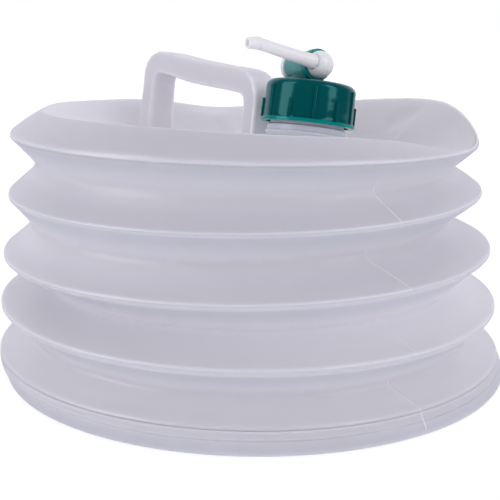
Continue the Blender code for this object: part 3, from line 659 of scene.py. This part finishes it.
# The handle's and the neck's own heights are counted from this level, a little above the floor's middle
floor_level = 130.0 * MM
floor_place = Matrix.Translation((0.0, 0.0, floor_level)) @ Matrix.Rotation(-floor_lean, 4, "X")
handle = draw_strip("handle_loop", loop_pairs)
apply_modifier(handle, "SOLIDIFY", {"thickness": handle_depth, "offset": 0.0, "use_even_offset": False})
apply_modifier(handle, "BEVEL", {"width": handle_edge, "segments": 4, "limit_method": "ANGLE",
                                 "angle_limit": 45 * DEG, "profile": 0.6, "use_clamp_overlap": False})
# The feet are open into the bag, so their end faces go
bpy.ops.object.mode_set(mode="EDIT")
bpy.ops.mesh.select_all(action="DESELECT")
mesh = bmesh.from_edit_mesh(handle.data)
for face in mesh.faces:
    face.select = all(abs(vertex.co.z - foot_height) < 0.01 * MM for vertex in face.verts)
bpy.ops.mesh.delete(type="FACE")
bpy.ops.object.mode_set(mode="OBJECT")


def on_near_end(place):
    """Whether a point of the handle lies on the near leg's end face, which is painted bright, painted light
    against the cap's shade.
    """
    bend_start, end_face = 26 * MM, 10.6 * MM
    return place.x + 0.35 * max(0.0, place.z - bend_start) > end_face


# The near leg's end face is painted bright and lets light spread less, painted light where the cap shades
# it
paint_milk_and_light(handle, lambda place: 1.0 if on_near_end(place) else 0.66,
           lambda place: 0.3 * MM if on_near_end(place) else 5 * MM)
# The legs widen by 8 per cent over their whole height, and by 10 per cent more at their feet
leg_top, foot_top = 30 * MM, 3 * MM
for vertex in handle.data.vertices:
    down_leg = min(1.0, max(0.0, (leg_top - vertex.co.z) / (leg_top - foot_height)))
    down_foot = min(1.0, max(0.0, (foot_top - vertex.co.z) / (foot_top - foot_height)))
    vertex.co.y *= 1 + 0.08 * down_leg + 0.10 * down_foot ** 2
apply_modifier(handle, "SOLIDIFY", {"thickness": handle_wall, "offset": -1.0, "use_even_offset": False})
finish(handle, natural_ldpe, 35 * DEG)
put_in_frame(handle, floor_place)
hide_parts("carry_handle")
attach(handle, "top")

# Neck: part of the same blow moulding. A collar with a bead stands under the cap, and above it the neck
# carries a coarse screw thread up to its rolled lip.
neck_sides = 72
neck_radius = 20.4 * MM
thread_depth = 1.6 * MM
thread_pitch = 6.0 * MM
# The neck stands beside the handle's near leg and leans back, and a little towards the handle
neck_aside = 45.7 * MM
neck_lean_back = 11.5 * DEG
neck_lean_aside = 3.7 * DEG
neck_place = (Matrix.Translation((neck_aside, 0.0, floor_level))
              @ Matrix.Rotation(-neck_lean_aside, 4, "Y") @ Matrix.Rotation(-neck_lean_back, 4, "X"))
neck_points = [(18.4, -3.0), (25.6, -3.2), (22.6, -0.4), (20.9, 2.0), (20.4, 5.0), (20.4, 8.0),
               (21.3, 8.6), (21.8, 9.1), (21.8, 9.6), (22.5, 9.9), (22.7, 10.4), (22.5, 10.9),
               (21.8, 11.2), (21.8, 14.0), (21.3, 14.5), (20.4, 14.8), (20.4, 33.6), (20.2, 34.3),
               (19.7, 34.7), (18.9, 34.7), (18.5, 34.4), (18.3, 33.8), (18.4, -3.0)]
neck = turned("pour_neck", neck_sides, in_metres(neck_points))
paint_milk_and_light(neck, lambda place: 0.4, lambda place: 1.0 * MM)
finish(neck, natural_ldpe, 40 * DEG)
put_in_frame(neck, neck_place)
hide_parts("neck")
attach(neck, "top")


def screw_thread(name, wall_radius, depth, low, turns):
    """A coarse thread with sloping sides, wound with a modifier; a depth below zero points inwards."""
    sunk, foot_half, crest_half = 0.4 * MM, 1.1 * MM, 0.6 * MM
    steps = round(48 * turns)
    foot = wall_radius - math.copysign(sunk, depth)
    crest = wall_radius + depth
    piece = new_piece(bpy.ops.mesh.primitive_plane_add, name)
    section = [(foot, -foot_half), (crest, -crest_half), (crest, crest_half), (foot, foot_half)]
    for vertex, (radius, height) in zip((piece.data.vertices[at] for at in (0, 1, 3, 2)), section):
        vertex.co = (radius, 0.0, low + height)
    bpy.ops.object.mode_set(mode="EDIT")
    bpy.ops.mesh.select_all(action="SELECT")
    bpy.ops.mesh.delete(type="ONLY_FACE")
    bpy.ops.object.mode_set(mode="OBJECT")
    apply_modifier(piece, "SCREW", {"angle": turns * 2 * math.pi, "screw_offset": thread_pitch * turns,
                                    "steps": steps, "render_steps": steps})
    bpy.ops.object.mode_set(mode="EDIT")
    bpy.ops.mesh.select_all(action="DESELECT")
    bpy.ops.mesh.select_non_manifold()
    bpy.ops.mesh.edge_face_add()
    bpy.ops.mesh.select_all(action="SELECT")
    bpy.ops.mesh.remove_doubles(threshold=0.001 * MM)
    bpy.ops.mesh.normals_make_consistent(inside=False)
    bpy.ops.object.mode_set(mode="OBJECT")
    return piece


neck_thread = screw_thread("neck_thread", neck_radius, thread_depth, 21.0 * MM, 1.6)
paint_milk_and_light(neck_thread, lambda place: 0.4, lambda place: 1.0 * MM)
finish(neck_thread, natural_ldpe, 30 * DEG)
put_in_frame(neck_thread, neck_place)
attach(neck_thread, "top")

# Screw cap: injection moulded in teal polyethylene with a high gloss. It has a flange round its foot and
# twelve grip ribs, by turns tall and short, and the tap's barrel stands on it on a low saddle.
cap_sides = 96
cap_inner_radius = 22.7 * MM
cap_height = 15.9 * MM
cap_place = neck_place @ Matrix.Translation((0.0, 0.0, cap_height))
teal_pe, teal_shader = new_material("teal_gloss_pe")
teal_spot = add_node(teal_pe, "ShaderNodeTexCoord", {}, {})
# Pigment streaks of the moulding, about 14 mm across
teal_cloud = add_node(teal_pe, "ShaderNodeTexNoise", {}, {
    "Vector": teal_spot.outputs["Object"], "Scale": 1 / (14 * MM), "Detail": 2.0, "Roughness": 0.5})
teal_body = add_node(teal_pe, "ShaderNodeMix", {"data_type": "RGBA"}, {
    0: teal_cloud.outputs["Fac"], 6: linear("#014C4C"), 7: linear("#015656")})
# The thin flange and the barrel's collar are painted lighter, painted light for the light that comes
# through them
cap_axis = (cap_place.to_3x3() @ Vector((0.0, 0.0, 1.0))).normalized()
teal_height = add_node(teal_pe, "ShaderNodeVectorMath", {"operation": "DOT_PRODUCT"}, {
    0: teal_spot.outputs["Object"], 1: cap_axis})
teal_painted_light = add_node(teal_pe, "ShaderNodeAttribute", {"attribute_name": "thin_painted_light"}, {})
teal_tone = add_node(teal_pe, "ShaderNodeMix", {"data_type": "RGBA"}, {
    0: teal_painted_light.outputs["Fac"], 6: teal_body.outputs[2], 7: linear("#02857F")})
# Sink marks run round the skirt every 6 mm or so and break up the reflections
teal_waves = add_node(teal_pe, "ShaderNodeTexNoise", {"noise_dimensions": "1D"}, {
    "W": teal_height.outputs["Value"], "Scale": 1 / (6 * MM), "Detail": 1.0, "Roughness": 0.5})
teal_bump = add_node(teal_pe, "ShaderNodeBump", {}, {
    "Height": teal_waves.outputs["Fac"], "Strength": 0.5, "Distance": 0.25 * MM})
teal_pe.node_tree.links.new(teal_tone.outputs[2], teal_shader.inputs["Base Color"])
teal_pe.node_tree.links.new(teal_bump.outputs["Normal"], teal_shader.inputs["Normal"])
teal_shader.inputs["Roughness"].default_value = 0.14
teal_shader.inputs["IOR"].default_value = 1.45
teal_shader.inputs["Specular Tint"].default_value = linear("#A0FFFF")

cap_points = [(22.7, 0.0), (25.8, 0.0), (26.1, 0.3), (26.1, 1.6), (25.8, 1.9), (25.2, 2.1), (24.95, 2.8),
              (24.9, 4.0), (24.65, 19.2), (24.5, 20.2), (24.0, 21.2), (23.2, 22.1), (22.2, 22.7),
              (21.0, 23.0), (16.0, 23.2), (8.0, 23.36), (0.0, 23.4)]
cap_shell = turned("cap_shell", cap_sides, in_metres(cap_points))
cap_ceiling = 21.0 * MM
cap_inside = turned("cap_inside", cap_sides, [
    (cap_inner_radius, 0.0), (cap_inner_radius, cap_ceiling), (0.0, cap_ceiling)])
bpy.ops.object.mode_set(mode="EDIT")
bpy.ops.mesh.select_all(action="SELECT")
bpy.ops.mesh.flip_normals()
bpy.ops.object.mode_set(mode="OBJECT")


def join_pieces(first, *others):
    """Join pieces of one moulding into the first."""
    bpy.ops.object.select_all(action="DESELECT")
    for piece in (first, *others):
        piece.select_set(True)
    bpy.context.view_layer.objects.active = first
    bpy.ops.object.join()
    bpy.ops.object.mode_set(mode="EDIT")
    bpy.ops.mesh.select_all(action="SELECT")
    bpy.ops.mesh.remove_doubles(threshold=0.001 * MM)
    bpy.ops.object.mode_set(mode="OBJECT")


join_pieces(cap_shell, cap_inside)
rib_count = 12
first_rib = -38
# A rib starts inside the skirt, is narrower on its outer side, and is rounded there and at its top. The
# tall rib and the short one are each modelled once and copied round the skirt.
rib_root, skirt_radius, rib_bottom = 24.2 * MM, 24.9 * MM, 0.5 * MM
root_width, outer_width = 2.3 * MM, 1.7 * MM
ribs = []
for first, proud, top in ((0, 0.85 * MM, 19.6 * MM), (1, 1.15 * MM, 12.0 * MM)):
    rib = new_piece(bpy.ops.mesh.primitive_cube_add, "cap_rib")
    for vertex in rib.data.vertices:
        x, y, z = vertex.co
        width = outer_width if x > 0 else root_width
        vertex.co = (rib_root if x < 0 else skirt_radius + proud, y * width,
                     rib_bottom if z < 0 else top)
    bpy.ops.object.mode_set(mode="EDIT")
    bpy.ops.mesh.select_all(action="DESELECT")
    mesh = bmesh.from_edit_mesh(rib.data)
    for edge in mesh.edges:
        outer = all(vert.co.x > rib_root + 0.3 * MM for vert in edge.verts)
        edge.select = outer or all(vert.co.z > rib_bottom + 0.5 * MM for vert in edge.verts)
    mesh.select_flush_mode()
    bpy.ops.mesh.bevel(offset=0.5 * MM, segments=3, profile=0.5)
    bpy.ops.object.mode_set(mode="OBJECT")
    for index in range(first, rib_count, 2):
        copied = rib.copy()
        copied.data = rib.data.copy()
        bpy.context.collection.objects.link(copied)
        bpy.ops.object.select_all(action="DESELECT")
        copied.select_set(True)
        bpy.context.view_layer.objects.active = copied
        put_in_frame(copied, Matrix.Rotation((first_rib + 360 / rib_count * index) * DEG, 4, "Z"))
        ribs.append(copied)
    bpy.data.objects.remove(rib)
cap_thread = screw_thread("cap_thread", cap_inner_radius, -thread_depth, 2.1 * MM, 1.5)
join_pieces(cap_shell, *ribs, cap_thread)
put_in_frame(cap_shell, cap_place)
barrel_height = 32.9 * MM
barrel_turn = -13 * DEG
barrel_place = (cap_place @ Matrix.Translation((0.0, 0.0, barrel_height))
                @ Matrix.Rotation(barrel_turn, 4, "Z"))
# The barrel's own axis lies along X, so what is turned about Z is laid down first
lying_place = barrel_place @ Matrix.Rotation(90 * DEG, 4, "Y")
barrel_points = [(5.5, -19.0), (7.6, -19.0), (8.0, -18.6), (8.0, -0.6), (8.3, -0.3), (8.5, -0.2),
                 (8.75, 0.1), (8.75, 4.0), (8.5, 4.3), (8.2, 4.4), (5.5, 4.4), (5.5, -19.0)]
barrel = turned("tap_barrel", 64, in_metres(barrel_points))
# The barrel is painted a lighter green, painted light for its reflections and for the white rotor showing
# through its thin wall
lit_thin_teal, thin_shader = new_material("thin_teal_painted_light_pe")
thin_spot = add_node(lit_thin_teal, "ShaderNodeTexCoord", {}, {})
thin_cloud = add_node(lit_thin_teal, "ShaderNodeTexNoise", {}, {
    "Vector": thin_spot.outputs["Object"], "Scale": 1 / (7 * MM), "Detail": 2.0, "Roughness": 0.5})
thin_painted_tone = add_node(lit_thin_teal, "ShaderNodeMix", {"data_type": "RGBA"}, {
    0: thin_cloud.outputs["Fac"], 6: linear("#46958F"), 7: linear("#51A39C")})
lit_thin_teal.node_tree.links.new(thin_painted_tone.outputs[2], thin_shader.inputs["Base Color"])
thin_shader.inputs["Roughness"].default_value = 0.2
thin_shader.inputs["IOR"].default_value = 1.45
put_in_frame(barrel, lying_place)
# The saddle is a little wider where it stands on the cap
saddle_back, saddle_front = -17.0 * MM, 2.4 * MM
saddle_foot, saddle_top = -10.4 * MM, -4.0 * MM
foot_width, top_width = 13.0 * MM, 11.0 * MM
saddle = new_piece(bpy.ops.mesh.primitive_cube_add, "barrel_saddle")
for vertex in saddle.data.vertices:
    x, y, z = vertex.co
    vertex.co = (saddle_back if x < 0 else saddle_front, y * (top_width if z > 0 else foot_width),
                 saddle_foot if z < 0 else saddle_top)
bpy.ops.object.mode_set(mode="EDIT")
bpy.ops.mesh.select_all(action="SELECT")
bpy.ops.mesh.bevel(offset=0.8 * MM, segments=3, profile=0.5)
bpy.ops.object.mode_set(mode="OBJECT")
put_in_frame(saddle, barrel_place)
join_pieces(cap_shell, barrel, saddle)
cap_shell.name = "cap_with_barrel"
finish(cap_shell, teal_pe, 32 * DEG)
cap_shell.data.materials.append(lit_thin_teal)
to_barrel, to_cap = barrel_place.inverted(), cap_place.inverted()
# Painted light on the thin plastic: the flange but not the ribs' lower ends, and the collar in front of the
# barrel
thin_painted_light = cap_shell.data.attributes.new("thin_painted_light", "FLOAT", "POINT")
for vertex in cap_shell.data.vertices:
    x, y, z = to_barrel @ vertex.co
    height = (to_cap @ vertex.co).z
    on_flange = height < 2.0 * MM and abs(height - rib_bottom) > 0.02 * MM
    on_collar = x > -0.5 * MM and z > -9 * MM and math.hypot(y, z) > 8.0 * MM
    thin_painted_light.data[vertex.index].value = 1.0 if on_flange or on_collar else 0.0
# The round barrel itself, down to the saddle, takes this lighter green of painted light
for face in cap_shell.data.polygons:
    x, y, z = to_barrel @ face.center
    if math.hypot(y, z) < 8.3 * MM and -19.5 * MM < x < -0.1 * MM and z > -8.2 * MM:
        face.material_index = 1
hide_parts("screw_cap")
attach(cap_shell, "cap")

# Lever: rotor, round hub and spout in one white polyethylene moulding. The spout is a thin tube that ends
# in a short nozzle, bent down a little, and a disc pressed on the rotor's end holds it in the barrel.
white_pe, white_shader = new_material("white_pe")
white_spot = add_node(white_pe, "ShaderNodeTexCoord", {}, {})
# Faint flow marks, about 5 mm across
white_cloud = add_node(white_pe, "ShaderNodeTexNoise", {}, {
    "Vector": white_spot.outputs["Object"], "Scale": 1 / (5 * MM), "Detail": 2.0, "Roughness": 0.5})
white_tone = add_node(white_pe, "ShaderNodeMix", {"data_type": "RGBA"}, {
    0: white_cloud.outputs["Fac"], 6: linear("#F0F0ED"), 7: linear("#F5F5F2")})
white_pe.node_tree.links.new(white_tone.outputs[2], white_shader.inputs["Base Color"])
white_shader.inputs["Roughness"].default_value = 0.3
white_shader.inputs["IOR"].default_value = 1.5
white_shader.inputs["Subsurface Weight"].default_value = 0.5
white_shader.inputs["Subsurface Radius"].default_value = (1.0, 1.0, 1.0)
white_shader.inputs["Subsurface Scale"].default_value = 1.5 * MM

# The rotor from its pin forwards, with a groove for each ring, and then the hub with its domed end
hub_sides = 56
rotor_radius, groove_floor, groove_half = 5.2, 3.9, 0.8
hub_radius, dome_start, dome_depth = 7.5, 6.2, 7.2
dome_steps = 10
hub_points = [(0.0, -21.6), (3.0, -21.6), (3.0, -19.0), (rotor_radius, -19.0)]
for ring in (-12.55, -2.45):
    hub_points += [(rotor_radius, ring - groove_half), (groove_floor, ring - groove_half),
                   (groove_floor, ring + groove_half), (rotor_radius, ring + groove_half)]
hub_points += [(rotor_radius, 4.7), (7.1, 4.7), (7.4, 5.0), (hub_radius, dome_start)]
for step in range(1, dome_steps):
    rise = step * 90 / dome_steps * DEG
    hub_points.append((hub_radius * math.cos(rise), dome_start + dome_depth * math.sin(rise)))
hub_points.append((0.0, dome_start + dome_depth))
hub = turned("lever_hub", hub_sides, in_metres(hub_points))
put_in_frame(hub, lying_place)
# The spout is turned about its own line, with the mouth open at its end, and then its nozzle is bent
spout_points = [(0.0, 0.0), (3.3, 0.0), (4.2, 3.6), (4.5, 5.2), (4.3, 6.2), (4.1, 7.4), (3.9, 9.0),
                (3.7, 11.5), (3.55, 15.0), (3.4, 21.0), (3.3, 30.0), (3.3, 39.6), (3.5, 40.2), (3.6, 40.8),
                (3.6, 41.4), (3.45, 41.9), (3.3, 42.4), (3.15, 46.2), (3.0, 46.7), (2.6, 46.9), (1.8, 46.8),
                (1.4, 46.2), (1.4, 40.0), (0.0, 40.0)]
spout_steps = []
for (radius, height), (next_radius, next_height) in zip(spout_points, spout_points[1:]):
    count = max(1, round(abs(next_height - height) / 2))
    spout_steps += [(radius + (next_radius - radius) * at / count,
                     height + (next_height - height) * at / count) for at in range(count)]
spout_steps.append(spout_points[-1])
spout = turned("lever_spout", 32, in_metres(spout_steps))
nozzle_bend = 15 * DEG
bend_start, bend_length = 39.0 * MM, 3.0 * MM
knee = Vector((0.0, 0.0, bend_start + bend_length / 2))
for vertex in spout.data.vertices:
    beyond = min(1.0, max(0.0, (vertex.co.z - bend_start) / bend_length))
    bend = nozzle_bend * beyond * beyond * (3 - 2 * beyond)
    vertex.co = knee + Matrix.Rotation(bend, 3, "X") @ (vertex.co - knee)
# The spout leaves the side of the hub, and rises a little from the cap's own plane
spout_from_barrel = 7.7 * MM
spout_rise = 7 * DEG
spout_place = (barrel_place @ Matrix.Translation((spout_from_barrel, 0.0, 0.0))
               @ Matrix.Rotation(90 * DEG - spout_rise, 4, "X"))
put_in_frame(spout, spout_place)
join_pieces(hub, spout)
hub.name = "spout_and_hub"
finish(hub, white_pe, 40 * DEG)
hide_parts("spout_lever")
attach(hub, "lever")

disc_points = [(0.0, -23.3), (7.0, -23.3), (7.9, -23.0), (8.6, -22.3), (8.9, -21.4), (8.9, -19.7),
               (8.6, -19.3), (3.3, -19.3), (3.3, -21.9), (0.0, -21.9)]
disc = turned("end_disc", hub_sides, in_metres(disc_points))
put_in_frame(disc, lying_place)
finish(disc, white_pe, 40 * DEG)
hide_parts("rotor_end_cap")
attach(disc, "lever")

# Seals: the cap's flat gasket and the rotor's two rings are black rubber with a dull, faintly grained skin.
seal_rubber, seal_shader = new_material("seal_epdm_rubber")
seal_spot = add_node(seal_rubber, "ShaderNodeTexCoord", {}, {})
seal_grain = add_node(seal_rubber, "ShaderNodeTexNoise", {}, {
    "Vector": seal_spot.outputs["Object"], "Scale": 1 / (0.6 * MM), "Detail": 2.0, "Roughness": 0.5})
seal_tone = add_node(seal_rubber, "ShaderNodeMix", {"data_type": "RGBA"}, {
    0: seal_grain.outputs["Fac"], 6: linear("#232427"), 7: linear("#2C2D30")})
seal_bump = add_node(seal_rubber, "ShaderNodeBump", {}, {
    "Height": seal_grain.outputs["Fac"], "Strength": 0.15, "Distance": 0.05 * MM})
seal_rubber.node_tree.links.new(seal_tone.outputs[2], seal_shader.inputs["Base Color"])
seal_rubber.node_tree.links.new(seal_bump.outputs["Normal"], seal_shader.inputs["Normal"])
seal_shader.inputs["Roughness"].default_value = 0.6
for name in ("cap_gasket", "rotor_ring_rear", "rotor_ring_front"):
    for material_slot in bpy.data.objects[name].material_slots:
        material_slot.material = seal_rubber
